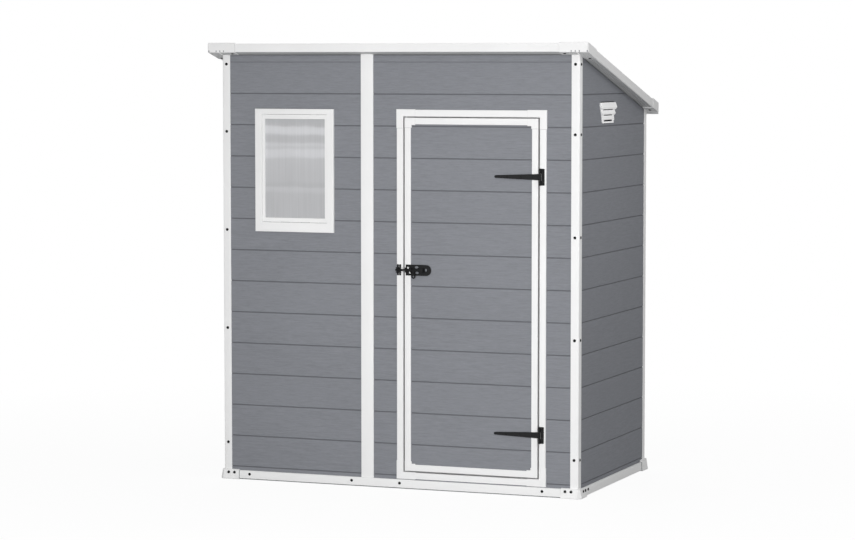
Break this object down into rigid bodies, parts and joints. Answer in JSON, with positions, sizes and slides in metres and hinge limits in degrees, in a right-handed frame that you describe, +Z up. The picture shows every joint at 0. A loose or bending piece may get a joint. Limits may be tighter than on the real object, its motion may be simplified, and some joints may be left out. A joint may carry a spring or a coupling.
{
  "type": "lean-to garden shed",
  "caption": "Small resin garden shed with a roof that falls to the back, an outward-opening door with strap hinges and a slide bolt, a front window and a side vent.",
  "frame": {"origin": "centre of the whole shed's box at ground level, under the floor panel", "axes": "+Z up; +X to the right along the front, towards the hinge side of the door; +Y to the back, so the front with the door faces -Y"},
  "size_m": [1.826, 1.052, 2.005],
  "materials": {
    "grey_resin": "matt grey moulded resin with a fine embossed wood grain",
    "white_resin": "satin white moulded resin",
    "roof_resin": "matt grey moulded resin with ribs down the slope",
    "floor_resin": "matt grey moulded resin with a non-slip relief",
    "pane_sheet": "translucent ribbed sheet",
    "black_steel": "black powder-coated steel"
  },
  "bodies": {
    "shed": {"floor_panel": "floor_resin", "skirt_front": "white_resin", "skirt_back": "white_resin", "skirt_left": "white_resin", "skirt_right": "white_resin", "foot_front_left": "white_resin", "foot_front_right": "white_resin", "foot_back_left": "white_resin", "foot_back_right": "white_resin", "post_front_left": "white_resin", "post_front_right": "white_resin", "post_back_left": "white_resin", "post_back_right": "white_resin", "front_wall_window": "grey_resin", "front_mullion": "white_resin", "front_wall_beside_door": "grey_resin", "front_wall_over_door": "grey_resin", "left_wall": "grey_resin", "right_wall": "grey_resin", "back_wall": "grey_resin", "back_mullion": "white_resin", "window_frame": "white_resin", "window_sash": "white_resin", "window_pane": "pane_sheet", "door_jamb_latch": "white_resin", "door_jamb_hinge": "white_resin", "door_head": "white_resin", "door_sill": "white_resin", "side_vent": "white_resin", "roof_panel": "roof_resin", "fascia_front": "white_resin", "fascia_back": "white_resin", "verge_left": "white_resin", "verge_right": "white_resin", "roof_cap_front_left": "white_resin", "roof_cap_front_right": "white_resin", "roof_cap_back_left": "white_resin", "roof_cap_back_right": "white_resin", "hinge_plates": "black_steel", "bolt_keeper": "black_steel"},
    "door": {"door_panel": "grey_resin", "door_border": "white_resin", "hinge_straps": "black_steel", "bolt_plate": "black_steel"},
    "bolt": {"bolt_rod": "black_steel"}
  },
  "joints": [
    {"name": "door_hinge", "type": "hinge", "parent": "shed", "child": "door", "pos_m": [0.6805, -0.4915, 0], "axis": [0, 0, 1], "range_deg": [0, 120]},
    {"name": "bolt_slide", "type": "slide", "parent": "door", "child": "bolt", "axis": [1, 0, 0], "range_m": [0, 0.026]}
  ]
}
